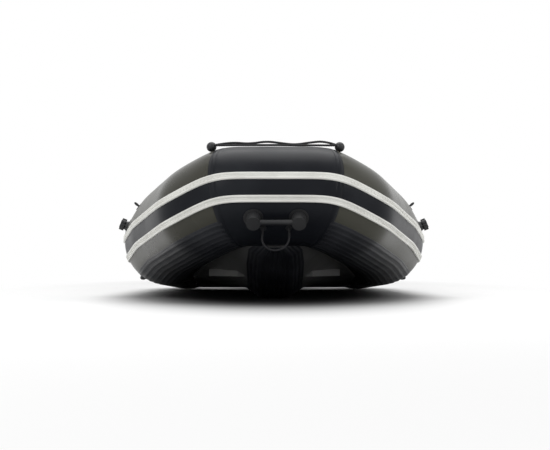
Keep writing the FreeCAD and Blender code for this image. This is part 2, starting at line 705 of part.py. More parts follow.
def bench(word, bench_back):
    """A board across the boat on a slider at each end."""
    sliders = [slider(side, name, word, bench_back) for side, name in ((PORT, "port"), (STARBOARD, "starboard"))]
    hooks = doc.addObject("Part::Compound", f"{word}_bench_sliders")
    hooks.Links = sliders
    node(f"{word}_bench_sliders", hooks)
    centre = on_side(PORT, bench_back, dim.rail_angle, dim.rail_bead_lift).Base
    up = V(1, 0, 0).cross(along_side)
    place = axes(V(0, centre.y, centre.z), V(1, 0, 0), along_side, up)
    half = value(dim.bench_half_length)
    low = board_lift()
    board = local_box(f"{word}_board", V(-half, -value(dim.bench_width) / 2, low),
                      V(half, value(dim.bench_width) / 2, low + value(dim.bench_thickness)), place)
    node(f"{word}_bench", rounded(f"{word}_bench", board, value(dim.bench_edge_radius),
                                  lambda edge: edge.BoundBox.XLength > half))


for side, word in ((PORT, "port"), (STARBOARD, "starboard")):
    seat_rail(side, word)
bench("front", dim.front_bench_back)
bench("rear", dim.rear_bench_back)

# ---- fittings on the tubes ----


def rowlock(side, word):
    """A glued base with a neck, its steel pin, and the lobed cap that holds an oar on it."""
    place = on_side(side, dim.rowlock_back, dim.rowlock_angle, 0)
    plate = make("Part::Cylinder", f"{word}_rowlock_plate", Radius=dim.rowlock_plate_radius,
                 Height=dim.rowlock_plate_thickness)
    plate.Placement = place.multiply(Placement(V(0, 0, 0), Rotation()))
    neck = make("Part::Cone", f"{word}_rowlock_neck", Radius1=dim.rowlock_neck_radius + 8,
                Radius2=dim.rowlock_neck_radius, Height=dim.rowlock_neck_height)
    neck.Placement = place.multiply(Placement(V(0, 0, value(dim.rowlock_plate_thickness)), Rotation()))
    pin_hole = make("Part::Cylinder", f"{word}_rowlock_hole", Radius=dim.rowlock_pin_radius,
                    Height=dim.rowlock_neck_height)
    base_top = value(dim.rowlock_plate_thickness + dim.rowlock_neck_height)
    pin_hole.Placement = place.multiply(Placement(V(0, 0, value(dim.rowlock_plate_thickness)), Rotation()))
    base = fused(f"{word}_rowlock_solid", [plate, neck])
    node(f"{word}_rowlock_base", combined("Part::Cut", f"{word}_rowlock_base", base, pin_hole))
    pin = make("Part::Cylinder", f"{word}_rowlock_pin", Radius=dim.rowlock_pin_radius,
               Height=dim.rowlock_neck_height + dim.rowlock_cap_height - 8)
    pin.Placement = pin_hole.Placement
    node(f"{word}_rowlock_pin", pin)
    cap = make("Part::Cylinder", f"{word}_cap_blank", Radius=dim.rowlock_cap_radius,
               Height=dim.rowlock_cap_height)
    cap.Placement = place.multiply(Placement(V(0, 0, base_top), Rotation()))
    cutters = []
    for i in range(int(value(dim.rowlock_lobes))):
        turn = Rotation(V(0, 0, 1), 360 * i / value(dim.rowlock_lobes))
        scallop = make("Part::Cylinder", f"{word}_scallop_{i}", Radius=dim.rowlock_scallop,
                       Height=dim.rowlock_cap_height)
        reach_out = value(dim.rowlock_cap_radius + dim.rowlock_scallop) - 7
        scallop.Placement = place.multiply(Placement(turn.multVec(V(reach_out, 0, 0)) + V(0, 0, base_top), turn))
        cutters.append(scallop)
    cutters.append(pin)
    scallops = fused(f"{word}_scallops", cutters)
    node(f"{word}_rowlock_cap", combined("Part::Cut", f"{word}_rowlock_cap", cap, scallops))


def air_valve(name, place):
    """A flange with its screw cap."""
    flange = make("Part::Cylinder", f"{name}_flange", Radius=dim.valve_flange_radius,
                  Height=dim.valve_flange_thickness)
    flange.Placement = place
    cap = make("Part::Cylinder", f"{name}_cap", Radius=dim.valve_cap_radius, Height=dim.valve_cap_height)
    cap.Placement = place.multiply(Placement(V(0, 0, value(dim.valve_flange_thickness)), Rotation()))
    return fused(name, [flange, cap])


def side_handle(side, word):
    """A moulded carrying handle: a plate on the tube and a D-shaped grip that stands off it."""
    place = on_side(side, dim.side_handle_back, dim.side_handle_angle, 0)
    length, width = value(dim.handle_plate_length), value(dim.handle_plate_width)
    plate = local_box(f"{word}_handle_plate", V(-length / 2, -width / 2, 0.0),
                      V(length / 2, width / 2, value(dim.handle_plate_thickness)), place)
    half = value(dim.side_grip_length) / 2
    rise = value(dim.side_grip_rise)
    shoulder = half - rise * 0.6
    low = value(dim.handle_plate_thickness) - 1
    corner = rise * 0.6
    turn = corner * (1 - math.sqrt(0.5))
    wire = Part.Wire([
        Part.makeLine(V(-half, 0, low), V(-half, 0, rise - corner)),
        Part.Arc(V(-half, 0, rise - corner), V(-half + turn, 0, rise - turn), V(-shoulder, 0, rise)).toShape(),
        Part.makeLine(V(-shoulder, 0, rise), V(shoulder, 0, rise)),
        Part.Arc(V(shoulder, 0, rise), V(half - turn, 0, rise - turn), V(half, 0, rise - corner)).toShape(),
        Part.makeLine(V(half, 0, rise - corner), V(half, 0, low))])
    spine = doc.addObject("Part::Feature", f"{word}_grip_path")
    spine.Shape = wire
    spine.Placement = place
    section = make("Part::Circle", f"{word}_grip_section", Radius=dim.side_grip_radius)
    section.Placement = place.multiply(Placement(V(-half, 0, low), Rotation()))
    grip = doc.addObject("Part::Sweep", f"{word}_grip")
    grip.Sections = [section]
    grip.Spine = (spine, [f"Edge{i + 1}" for i in range(5)])
    grip.Solid = True
    grip.Frenet = False
    node(f"{word}_handle", fused(f"{word}_handle", [plate, grip]))


for side, word in ((PORT, "port"), (STARBOARD, "starboard")):
    rowlock(side, word)
    node(f"{word}_valve", air_valve(f"{word}_valve", on_side(side, dim.valve_back, dim.valve_angle, 0)))
    side_handle(side, word)
node("bow_valve", air_valve("bow_valve", on_nose(0, dim.bow_valve_angle, 0)))
floor_top = value(dim.floor_bottom + dim.floor_thickness)
floor_valve_place = Placement(V(value(dim.floor_valve_x), back(dim.floor_valve_back), floor_top), Rotation())
node("floor_valve", air_valve("floor_valve", floor_valve_place))

# the bow handle: two round bosses on rubber discs, and a grip bar through them
bosses, discs = [], []
for side, word in ((PORT, "port"), (STARBOARD, "starboard")):
    x_place = side * value(dim.bow_boss_half_spacing)
    disc = make("Part::Cylinder", f"{word}_bow_disc", Radius=dim.bow_plate_radius,
                Height=dim.handle_plate_thickness)
    disc.Placement = on_nose(x_place, dim.bow_handle_angle, dim.patch_thickness)
    anchor = make("Part::Cylinder", f"{word}_tow_anchor", Radius=dim.tow_anchor_radius,
                  Height=dim.handle_plate_thickness)
    anchor.Placement = on_nose(side * value(dim.tow_anchor_half), dim.tow_anchor_angle, dim.patch_thickness)
    discs += [disc, anchor]
    boss = make("Part::Cylinder", f"{word}_bow_boss", Radius=dim.bow_boss_radius,
                Height=dim.bow_grip_rise + dim.bow_grip_radius + dim.bow_boss_cover
                - dim.patch_thickness - dim.handle_plate_thickness)
    boss.Placement = on_nose(x_place, dim.bow_handle_angle, dim.patch_thickness + dim.handle_plate_thickness)
    bosses.append(boss)
bow_grip = make("Part::Cylinder", "bow_grip_bar", Radius=dim.bow_grip_radius,
                Height=dim.bow_boss_half_spacing * 2)
bow_grip.Placement = on_nose(-value(dim.bow_boss_half_spacing), dim.bow_handle_angle,
                             dim.bow_grip_rise).multiply(Placement(V(), Rotation(V(0, 1, 0), 90)))
bow_discs = doc.addObject("Part::Compound", "bow_handle_discs")
bow_discs.Links = discs
node("bow_handle_discs", bow_discs)
node("bow_handle", fused("bow_handle", bosses + [bow_grip]))

line_rings = []
for side, word in ((PORT, "port"), (STARBOARD, "starboard")):
    spots = [on_shoulder(side, dim.line_ring_back, dim.line_ring_angle, 0),
             on_side(side, dim.line_ring_mid_back, dim.line_ring_side_angle, 0),
             on_side(side, dim.line_ring_aft_back, dim.line_ring_side_angle, 0)]
    for number, place in enumerate(spots):
        line_rings.append(eye_ring(f"{word}_line_ring_{number}", dim.line_plate_radius * 2,
                                   dim.line_plate_thickness, dim.line_ring_radius, dim.line_ring_wire, place))
ring_set = doc.addObject("Part::Compound", "lifeline_rings")
ring_set.Links = line_rings
node("lifeline_rings", ring_set)

# ---- ropes ----

# each route: half breadth, distance back and height of its points, along the rope
ROUTES = {
    "grab_line": [(-288, 262, 752), (-215, 256, 765), (-125, 262, 757), (-45, 250, 769), (30, 258, 760),
                  (95, 250, 752), (165, 258, 764), (235, 252, 770), (292, 262, 752)],
    "grab_line_return": [(-288, 238, 748), (-210, 226, 748), (-120, 234, 749), (-30, 222, 748), (50, 233, 749),
                         (115, 240, 748), (180, 230, 748), (292, 240, 748)],
    "tow_loop": [(-59, 54, 346), (-61, 30, 325), (-66, 22, 288), (-46, 20, 256), (-8, 22, 243),
                 (34, 20, 254), (60, 24, 288), (61, 32, 325), (59, 54, 346)],
}
ROPE_DIAMETERS = {"grab_line": dim.rope_diameter, "grab_line_return": dim.rope_diameter,
                  "tow_loop": dim.tow_rope_diameter}
BEND_SHARE = 0.45


def rope(name):
    """A tube of straight runs joined by tangent arcs, each as large as its two runs allow."""
    points = [V(x, back(distance), z) for x, distance, z in ROUTES[name]]
    start, edges, radii, length = points[0], [], [], 0
    for before, corner, after in zip(points, points[1:], points[2:]):
        inward, outward = (corner - before).normalize(), (after - corner).normalize()
        turn = inward.getAngle(outward)
        tangent = BEND_SHARE * min((corner - before).Length, (after - corner).Length)
        bend = tangent / math.tan(turn / 2)
        radii.append(bend)
        first, last = corner - inward * tangent, corner + outward * tangent
        sag = bend * (1 / math.cos(turn / 2) - 1)
        middle = corner + (outward - inward).normalize() * sag
        edges += [Part.makeLine(start, first), Part.Arc(first, middle, last).toShape()]
        length += (first - start).Length + bend * turn
        start = last
    edges.append(Part.makeLine(start, points[-1]))
    length += (points[-1] - start).Length
    half = value(ROPE_DIAMETERS[name]) / 2
    ring = Part.Wire(Part.makeCircle(half, points[0], points[1] - points[0]))
    tube = Part.Wire(edges).makePipeShell([ring], True, False)
    thing = doc.addObject("Part::Feature", name)
    thing.Shape = tube if tube.ShapeType == "Solid" else Part.Solid(tube)
    ratio = thing.Shape.Volume / (math.pi * half ** 2 * length)
    print(f"{name}: length {length:.1f}, least bend {min(radii):.1f}, volume ratio {ratio:.4f}")
    return node(name, thing)


ropes = [rope(name) for name in ROUTES]
guides = []
for side, word in ((PORT, "port"), (STARBOARD, "starboard")):
    ball = make("Part::Sphere", f"{word}_guide_ball", Radius=dim.line_guide_radius)
    ball.Placement.Base = V(side * value(dim.line_guide_half), back(dim.line_guide_back),
                            value(dim.line_guide_height))
    seated = combined("Part::Cut", f"{word}_guide_seated", ball, collar)
    guides.append(combined("Part::Cut", f"{word}_guide", seated, fused(f"{word}_guide_ropes", ropes[:2])))
guide_pair = doc.addObject("Part::Compound", "line_guides")
guide_pair.Links = guides
node("line_guides", guide_pair)

# ---- checks and files ----

doc.recompute()
for thing in doc.Objects:
    if "Invalid" in thing.State or "Error" in thing.State:
        raise RuntimeError(f"{thing.Name} failed: {thing.State}")
for piece in nodes:
    if piece.Shape.isNull() or not piece.Shape.isValid() or not piece.Shape.Solids:
        raise RuntimeError(f"{piece.Label} has no valid solid")
os.makedirs("parts", exist_ok=True)
for piece in nodes:
    piece.Shape.exportStep(f"parts/{piece.Label}.step")
    print(f"{piece.Label}: {len(piece.Shape.Solids)} solid(s), {piece.Shape.Volume / 1e3:.1f} cm3")
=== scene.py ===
"""The looks of a soft inflatable boat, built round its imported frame."""
import json
import logging
import math
from dataclasses import dataclass, field
from enum import Enum

import bmesh
import bpy
import numpy as np
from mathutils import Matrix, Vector


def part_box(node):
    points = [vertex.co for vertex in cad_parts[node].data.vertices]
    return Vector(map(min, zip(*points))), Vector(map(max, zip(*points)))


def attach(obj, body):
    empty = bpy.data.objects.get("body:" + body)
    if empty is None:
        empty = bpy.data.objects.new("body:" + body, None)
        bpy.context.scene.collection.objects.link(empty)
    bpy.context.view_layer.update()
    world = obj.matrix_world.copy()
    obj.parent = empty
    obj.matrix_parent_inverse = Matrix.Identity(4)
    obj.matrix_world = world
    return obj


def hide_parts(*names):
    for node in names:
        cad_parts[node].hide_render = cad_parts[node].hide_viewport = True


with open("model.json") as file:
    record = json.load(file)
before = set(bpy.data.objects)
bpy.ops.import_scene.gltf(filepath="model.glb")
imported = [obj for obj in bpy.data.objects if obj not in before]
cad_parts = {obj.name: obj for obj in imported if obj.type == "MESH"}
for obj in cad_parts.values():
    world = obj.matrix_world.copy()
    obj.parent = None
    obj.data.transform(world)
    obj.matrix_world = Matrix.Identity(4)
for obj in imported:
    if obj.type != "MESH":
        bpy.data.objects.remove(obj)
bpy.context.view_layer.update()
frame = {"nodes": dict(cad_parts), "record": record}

LOG = logging.getLogger("boat")
HULL = "hull"
STRAKES = {"upper_strake": 20.7, "lower_strake": -5.6}
WOOD_STRETCH = (0.06, 1, 1)


class Grain(Enum):
    """The kinds of fine relief that a finish can have."""

    EVEN = "even"
    WOOD = "wood"


def wear_group() -> bpy.types.NodeTree:
    """Builds the shared effect: cloudy dust over a colour, and the roughness that goes with it.

    Returns:
        The shader node group, with a colour, a roughness and a height as outputs.
    """
    tree = bpy.data.node_groups.new("dust_and_grain", "ShaderNodeTree")
    for name, kind, default in (("Color", "Color", (1, 1, 1, 1)), ("Dust Color", "Color", (1, 1, 1, 1)),
                                ("Dust", "Float", 0.2), ("Roughness", "Float", 0.4),
                                ("Cloud Scale", "Float", 5), ("Grain Scale", "Float", 400),
                                ("Stretch", "Vector", (1, 1, 1))):
        socket = tree.interface.new_socket(name, in_out="INPUT", socket_type=f"NodeSocket{kind}")
        socket.default_value = default
    for name, kind in (("Color", "Color"), ("Roughness", "Float"), ("Height", "Float")):
        tree.interface.new_socket(name, in_out="OUTPUT", socket_type=f"NodeSocket{kind}")
    make, link = tree.nodes.new, tree.links.new
    start, end = make("NodeGroupInput"), make("NodeGroupOutput")
    place, stretch = make("ShaderNodeTexCoord"), make("ShaderNodeVectorMath")
    stretch.operation = "MULTIPLY"
    link(place.outputs["Object"], stretch.inputs[0])
    link(start.outputs["Stretch"], stretch.inputs[1])
    clouds, grain = make("ShaderNodeTexNoise"), make("ShaderNodeTexNoise")
    clouds.inputs["Detail"].default_value = 6
    grain.inputs["Detail"].default_value = 3
    for noise, scale in ((clouds, "Cloud Scale"), (grain, "Grain Scale")):
        link(stretch.outputs[0], noise.inputs["Vector"])
        link(start.outputs[scale], noise.inputs["Scale"])
    ramp = make("ShaderNodeMapRange")
    ramp.inputs["From Min"].default_value = 0.38
    ramp.inputs["From Max"].default_value = 0.72
    amount, mix = make("ShaderNodeMath"), make("ShaderNodeMix")
    amount.operation = "MULTIPLY"
    mix.data_type = "RGBA"
    link(clouds.outputs["Fac"], ramp.inputs["Value"])
    link(ramp.outputs["Result"], amount.inputs[0])
    link(start.outputs["Dust"], amount.inputs[1])
    link(amount.outputs[0], mix.inputs["Factor"])
    link(start.outputs["Color"], mix.inputs["A"])
    link(start.outputs["Dust Color"], mix.inputs["B"])
    rough = make("ShaderNodeMath")
    rough.operation = "MULTIPLY_ADD"
    rough.inputs[1].default_value = 0.35
    link(amount.outputs[0], rough.inputs[0])
    link(start.outputs["Roughness"], rough.inputs[2])
    link(mix.outputs["Result"], end.inputs["Color"])
    link(rough.outputs[0], end.inputs["Roughness"])
    link(grain.outputs["Fac"], end.inputs["Height"])
    return tree


@dataclass(frozen=True)
class Finish:
    """One procedural finish of the boat."""

    name: str
    color: tuple[float, float, float]
    dust_color: tuple[float, float, float] = (0.3, 0.3, 0.28)
    dust: float = 0.2
    roughness: float = 0.4
    metallic: float = 0.0
    coat: float = 0.0
    specular: float = 0.35
    cloud_scale: float = 5.0
    grain_scale: float = 900.0
    bump: float = 0.06
    grain: Grain = Grain.EVEN

    def build(self, group: bpy.types.NodeTree) -> bpy.types.Material:
        """Makes the material from the shared effect.

        Args:
            group: the shared dust and grain node group.

        Returns:
            The new material.
        """
        material = bpy.data.materials.new(self.name)
        material.use_nodes = True
        nodes, link = material.node_tree.nodes, material.node_tree.links.new
        shader = nodes["Principled BSDF"]
        effect = nodes.new("ShaderNodeGroup")
        effect.node_tree = group
        effect.inputs["Color"].default_value = (*self.color, 1)
        effect.inputs["Dust Color"].default_value = (*self.dust_color, 1)
        effect.inputs["Dust"].default_value = self.dust
        effect.inputs["Roughness"].default_value = self.roughness
        effect.inputs["Cloud Scale"].default_value = self.cloud_scale
        effect.inputs["Grain Scale"].default_value = self.grain_scale
        if self.grain is Grain.WOOD:
            effect.inputs["Stretch"].default_value = WOOD_STRETCH
        link(effect.outputs["Color"], shader.inputs["Base Color"])
        link(effect.outputs["Roughness"], shader.inputs["Roughness"])
        bump = nodes.new("ShaderNodeBump")
        bump.inputs["Strength"].default_value = self.bump
        bump.inputs["Distance"].default_value = 0.002
        link(effect.outputs["Height"], bump.inputs["Height"])
        link(bump.outputs["Normal"], shader.inputs["Normal"])
        shader.inputs["Metallic"].default_value = self.metallic
        shader.inputs["Coat Weight"].default_value = self.coat
        shader.inputs["Specular IOR Level"].default_value = self.specular
        shader.inputs["Coat Roughness"].default_value = 0.12
        return material


FINISHES = {
    "tube_fabric": Finish("tube_fabric", (0.040, 0.039, 0.030), (0.07, 0.069, 0.052), 0.4, 0.26,
                          coat=0.05, specular=0.16, cloud_scale=2.2),
    "nose_fabric": Finish("nose_fabric", (0.008, 0.009, 0.012), (0.025, 0.028, 0.032), 0.3, 0.3,
                          specular=0.1),
    "strake_rubber": Finish("strake_rubber", (0.80, 0.80, 0.76), (0.55, 0.54, 0.50), 0.4, 0.35,
                            cloud_scale=9),
    "ribbed_rubber": Finish("ribbed_rubber", (0.010, 0.011, 0.014), (0.04, 0.042, 0.048), 0.5, 0.3,
                            specular=0.2),
    "bottom_fabric": Finish("bottom_fabric", (0.055, 0.055, 0.055), (0.13, 0.13, 0.13), 0.5, 0.3),
    "floor_fabric": Finish("floor_fabric", (0.12, 0.12, 0.118), (0.2, 0.2, 0.19), 0.3, 0.6,
                           grain_scale=300, bump=0.5),
    # The plywood's grey is partly its own tone and partly painted shade: it is darkened so that the
    # transom's lower edge, seen under the bottom cloth, looks shaded.
    "painted_plywood": Finish("painted_plywood", (0.2, 0.2, 0.19), (0.14, 0.135, 0.12), 0.3, 0.45,
                              grain=Grain.WOOD),
    "trim_metal": Finish("trim_metal", (0.62, 0.63, 0.64), (0.4, 0.4, 0.4), 0.2, 0.3, 1.0),
    "bench_wood": Finish("bench_wood", (0.42, 0.22, 0.08), (0.22, 0.10, 0.03), 0.8, 0.3, coat=0.4,
                         cloud_scale=40, grain_scale=260, bump=0.12, grain=Grain.WOOD),
    "steel": Finish("steel", (0.6, 0.6, 0.61), (0.35, 0.35, 0.36), 0.2, 0.25, 1.0),
    "holder_rubber": Finish("holder_rubber", (0.02, 0.021, 0.023), (0.07, 0.07, 0.07), 0.4, 0.5),
    "handle_rubber": Finish("handle_rubber", (0.012, 0.0125, 0.014), (0.05, 0.05, 0.05), 0.4, 0.42),
    "black_plastic": Finish("black_plastic", (0.013, 0.014, 0.016), (0.06, 0.06, 0.06), 0.3, 0.38),
    "rope": Finish("rope", (0.012, 0.012, 0.014), (0.06, 0.06, 0.06), 0.5, 0.7, grain_scale=1500, bump=0.4),
}


class Palette:
    """Builds each finish once and puts it on pieces."""

    def __init__(self) -> None:
        """Makes the shared group and every material."""
        group = wear_group()
        self.materials = {name: finish.build(group) for name, finish in FINISHES.items()}

    def dress(self, piece: bpy.types.Object, name: str) -> None:
        """Puts a finish on a piece as its only material."""
        piece.data.materials.clear()
        piece.data.materials.append(self.materials[name])

    def settle(self, piece: bpy.types.Object, name: str, *nodes: str) -> None:
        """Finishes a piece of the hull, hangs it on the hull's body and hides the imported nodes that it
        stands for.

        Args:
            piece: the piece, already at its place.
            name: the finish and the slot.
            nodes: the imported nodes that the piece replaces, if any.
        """
        self.dress(piece, name)
        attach(piece, HULL)
        if nodes:
            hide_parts(*nodes)

    def dress_nodes(self) -> None:
        """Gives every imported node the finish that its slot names."""
        for part in frame["record"]["subparts"]:
            piece = frame["nodes"][part["node"]]
            material = self.materials[part["material_slot"]]
            for slot in piece.material_slots:
                slot.material = material


def mesh_piece(name: str, points: list, faces: list, smooth: bool = True) -> bpy.types.Object:
    """Makes a mesh object at the origin, with its faces pointing outwards.

    Args:
        name: the piece's name.
        points: the vertices, in metres.
        faces: the faces, as vertex numbers.
        smooth: whether the faces are shaded smooth.

    Returns:
        The new object.
    """
    mesh = bpy.data.meshes.new(name)
    mesh.from_pydata([tuple(p) for p in points], [], faces)
    work = bmesh.new()
    work.from_mesh(mesh)
    bmesh.ops.remove_doubles(work, verts=work.verts, dist=1e-5)
    bmesh.ops.recalc_face_normals(work, faces=work.faces)
    work.to_mesh(mesh)
    work.free()
    mesh.shade_smooth() if smooth else mesh.shade_flat()
    piece = bpy.data.objects.new(name, mesh)
    bpy.context.scene.collection.objects.link(piece)
    return piece


def grid_faces(rows: int, columns: int, closed: bool) -> list:
    """Lists the quads of a grid of points.

    Args:
        rows: how many rows the grid has.
        columns: how many points each row has.
        closed: whether the rows are round.

    Returns:
        The faces, as vertex numbers.
    """
    span = columns if closed else columns - 1
    return [(r * columns + c, r * columns + (c + 1) % columns,
             (r + 1) * columns + (c + 1) % columns, (r + 1) * columns + c)
            for r in range(rows - 1) for c in range(span)]


def soften(points: np.ndarray, rounds: int) -> np.ndarray:
    """Evens out rows of points against their neighbours, the two end rows apart.

    Args:
        points: the rows, changed in place.
        rounds: how many times they are evened out.

    Returns:
        The same rows.
    """
    for _ in range(rounds):
        points[1:-1] = 0.25 * points[:-2] + 0.5 * points[1:-1] + 0.25 * points[2:]
    return points


@dataclass
class Collar:
    """The main tube's axis and what follows it, mitred at its corners."""

    radius: float = 0.235
    corners: tuple = ((0.210, 0.235, 0.505), (0.340, 0.332, 0.444), (0.514, 0.885, 0.366),
                      (0.591, 1.190, 0.303), (0.591, 3.040, 0.238))
    bow: float = field(default_factory=lambda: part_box("bow_tube")[0][1])
    pace: float = 0.012
    bend: float = 0.05

    def __post_init__(self) -> None:
        """Works out the runs, the seams' planes and the frames carried across them."""
        port = [Vector((x, self.bow + back, z)) for x, back, z in self.corners]
        self.axis = [Vector((-p.x, p.y, p.z)) for p in reversed(port)] + port
        self.runs = [(b - a).normalized() for a, b in zip(self.axis, self.axis[1:])]
        self.front = len(self.runs) // 2
        self.frames = {self.front: (Vector((0, -1, 0)), Vector((0, 0, 1)))}
        for step in (1, -1):
            i = self.front + step
            while 0 <= i < len(self.runs):
                turn = self.runs[i - step].rotation_difference(self.runs[i])
                self.frames[i] = tuple(turn @ arrow for arrow in self.frames[i - step])
                i += step

    def off_axis(self, run: int, angle: float, reach: float) -> Vector:
        """Gives the offset from the axis at an angle, on one run.

        Args:
            run: the number of the run.
            angle: degrees up from straight outwards.
            reach: the distance from the axis.

        Returns:
            The offset.
        """
        out, up = self.frames[run]
        lean = math.radians(angle)
        return (out * math.cos(lean) + up * math.sin(lean)) * reach

    def at_corner(self, corner: int, run: int, angle: float, reach: float) -> Vector:
        """Gives where a lengthwise line meets the seam plane at a corner of the axis.

        Args:
            corner: the number of the corner.
            run: the run that the line lies on.
            angle: degrees up from straight outwards.
            reach: the distance from the axis.

        Returns:
            The point.
        """
        offset = self.off_axis(run, angle, reach)
        if 0 < corner < len(self.axis) - 1:
            plane = self.runs[corner - 1] + self.runs[corner]
            offset -= self.runs[run] * (offset.dot(plane) / self.runs[run].dot(plane))
        return self.axis[corner] + offset

    def lines(self, profile: list) -> tuple[np.ndarray, np.ndarray]:
        """Carries the points of a profile round the whole tube, its corners softened as in cloth.

        Args:
            profile: angle in degrees and distance from the axis of each point.

        Returns:
            The points, by row and profile point, and the run that each row lies on.
        """
        rows, places = [], []
        for run in range(len(self.runs)):
            steps = max(2, math.ceil((self.axis[run + 1] - self.axis[run]).length / self.pace))
            ends = [(self.at_corner(run, run, *spot), self.at_corner(run + 1, run, *spot))
                    for spot in profile]
            for step in range(1 if run else 0, steps + 1):
                rows.append([start.lerp(end, step / steps) for start, end in ends])
                places.append(run)
        points = np.array(rows, dtype=float)
        return soften(points, int(2 * (self.bend / self.pace) ** 2)), np.array(places)

    def closed(self, name: str, points: np.ndarray) -> bpy.types.Object:
        """Makes a closed piece from rows of round profiles.

        Args:
            name: the piece's name.
            points: the rows, each with the profile's points.

        Returns:
            The new piece.
        """
        rows, columns = points.shape[:2]
        faces = grid_faces(rows, columns, True)
        faces += [tuple(range(columns)), tuple((rows - 1) * columns + c for c in range(columns))]
        return mesh_piece(name, points.reshape(-1, 3).tolist(), faces)

    def follow(self, name: str, profile: list, first: int, last: int) -> bpy.types.Object:
        """Makes a closed piece that follows the tube.

        Args:
            name: the piece's name.
            profile: angle in degrees and distance from the axis of each point.
            first: the run that it starts on.
            last: the run that it ends on.

        Returns:
            The new piece.
        """
        points, places = self.lines(profile)
        chosen = np.flatnonzero((places >= first) & (places <= last))
        if first > 0:
            chosen = np.insert(chosen, 0, chosen[0] - 1)
        return self.closed(name, points[chosen])


@dataclass
class Tube:
    """The inflated tube and the strips glued round it."""

    collar: Collar
    palette: Palette
    ribs: int = 9
    around: int = 120
    pucker: float = 0.0022
    pucker_fade: float = 0.02
    pucker_waves: int = 23
    tape_lift: float = 0.0014
    tape_wall: float = 0.001
    nose_span: tuple = (-88, 84)
    band_span: tuple = (-4.0, 19.0)
    wear_span: tuple = (-92.0, -28.5)
    strake_half: float = 0.017

    def arc(self, low: float, high: float, reach: float, count: int) -> list:
        """Lists points of an arc about the tube's axis.

        Args:
            low: the first angle in degrees.
            high: the last angle in degrees.
            reach: the distance from the axis.
            count: how many points there are.

        Returns:
            The angle and distance of each point.
        """
        return [(low + (high - low) * i / (count - 1), reach) for i in range(count)]

    def skin(self) -> None:
        """Makes the tube's own cloth, with drawn-in seams."""
        angles = [360 / self.around * i for i in range(self.around)]
        points, places = self.collar.lines([(angle, self.collar.radius) for angle in angles])
        centre, _ = self.collar.lines([(0.0, 0.0)])
        seams = np.flatnonzero(np.diff(places)) + 0.5
        front = seams[[len(seams) // 2 - 1, len(seams) // 2]]
        near = np.abs(np.arange(len(places))[:, None] - front).min(axis=1) * self.collar.pace
        wave = np.sin(np.radians(angles) * self.pucker_waves)
        depth = self.pucker * np.exp(-near / self.pucker_fade)[:, None] * (1 + 0.6 * wave[None, :])
        points += (centre - points) * (depth / self.collar.radius)[:, :, None]
        piece = self.collar.closed("tube_skin", points)
        self.palette.settle(piece, "tube_fabric", "bow_tube", "port_tube", "starboard_tube")

    def nose(self) -> None:
        """Makes the dark patch on the front run."""
        base = self.collar.radius
        low, high = self.nose_span
        profile = self.arc(low, high, base - 0.004, 60) + self.arc(high, low, base + 0.001, 60)
        piece = self.collar.follow("nose_cloth", profile, self.collar.front, self.collar.front)
        self.palette.settle(piece, "nose_fabric", "nose_patch")

    def seam_tapes(self) -> None:
        """Lays a tape over the seam at each end of the front run."""
        profile = [(360 / self.around * i, self.collar.radius + self.tape_lift) for i in range(self.around)]
        points, places = self.collar.lines(profile)
        for side, run in (("starboard", self.collar.front), ("port", self.collar.front + 1)):
            seam = int(np.flatnonzero(places == run)[0]) - 1
            rows = points[seam - 1:seam + 2]
            faces = grid_faces(3, self.around, True)
            piece = mesh_piece(f"{side}_seam_tape", rows.reshape(-1, 3).tolist(), faces)
            wall = piece.modifiers.new("wall", "SOLIDIFY")
            wall.thickness = self.tape_wall
            self.palette.settle(piece, "nose_fabric")

    def dark_band(self) -> None:
        """Makes the dark cloth between the two strakes."""
        base = self.collar.radius
        low, high = self.band_span
        profile = self.arc(low, high, base - 0.003, 12) + self.arc(high, low, base + 0.0008, 12)
        for side, first, last in (("port", self.collar.front + 1, len(self.collar.runs) - 1),
                                  ("starboard", 0, self.collar.front - 1)):
            piece = self.collar.follow(f"{side}_dark_band", profile, first, last)
            self.palette.settle(piece, "nose_fabric")

    def strake(self, name: str, middle: float) -> None:
        """Makes one rubbing strake: two rounded ridges with a groove.

        Args:
            name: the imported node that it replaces.
            middle: the angle of its middle line in degrees.
        """
        half = math.degrees(self.strake_half / self.collar.radius)
        foot = self.collar.radius
        outline = [(-1.0, -0.003), (-1.0, 0.0015), (-0.93, 0.007), (-0.78, 0.0095), (-0.6, 0.0097),
                   (-0.42, 0.0085), (-0.3, 0.0055), (0.3, 0.0055), (0.42, 0.0085), (0.6, 0.0097),
                   (0.78, 0.0095), (0.93, 0.007), (1.0, 0.0015), (1.0, -0.003)]
        profile = [(middle + share * half, foot + lift) for share, lift in outline]
        piece = self.collar.follow(f"{name}_rubber", profile, 0, len(self.collar.runs) - 1)
        self.palette.settle(piece, "strake_rubber", name)

    def wear_strips(self) -> None:
        """Makes the ribbed rubber under each side of the tube."""
        base, (low, high) = self.collar.radius, self.wear_span
        outer = []
        count = self.ribs * 8
        for i in range(count + 1):
            share = i / count
            ridge = max(0.0, math.sin(share * self.ribs * math.tau - 0.6)) ** 0.6
            outer.append((low + (high - low) * share, base + 0.0012 + 0.0018 * ridge))
        inner = self.arc(high, low, base - 0.003, 30)
        front, last = self.collar.front, len(self.collar.runs) - 1
        for name, first, end in (("port_wear_strip", front + 1, last),
                                 ("starboard_wear_strip", 0, front - 1)):
            piece = self.collar.follow(f"{name}_rubber", outer + inner, first, end)
            self.palette.settle(piece, "ribbed_rubber", name)

    def build(self) -> None:
        """Makes everything that follows the tube."""
        self.skin()
        self.nose()
        self.seam_tapes()
        self.dark_band()
        for name, angle in STRAKES.items():
            self.strake(name, angle)
        self.wear_strips()
        LOG.info("tube, patch, strakes and wear strips")


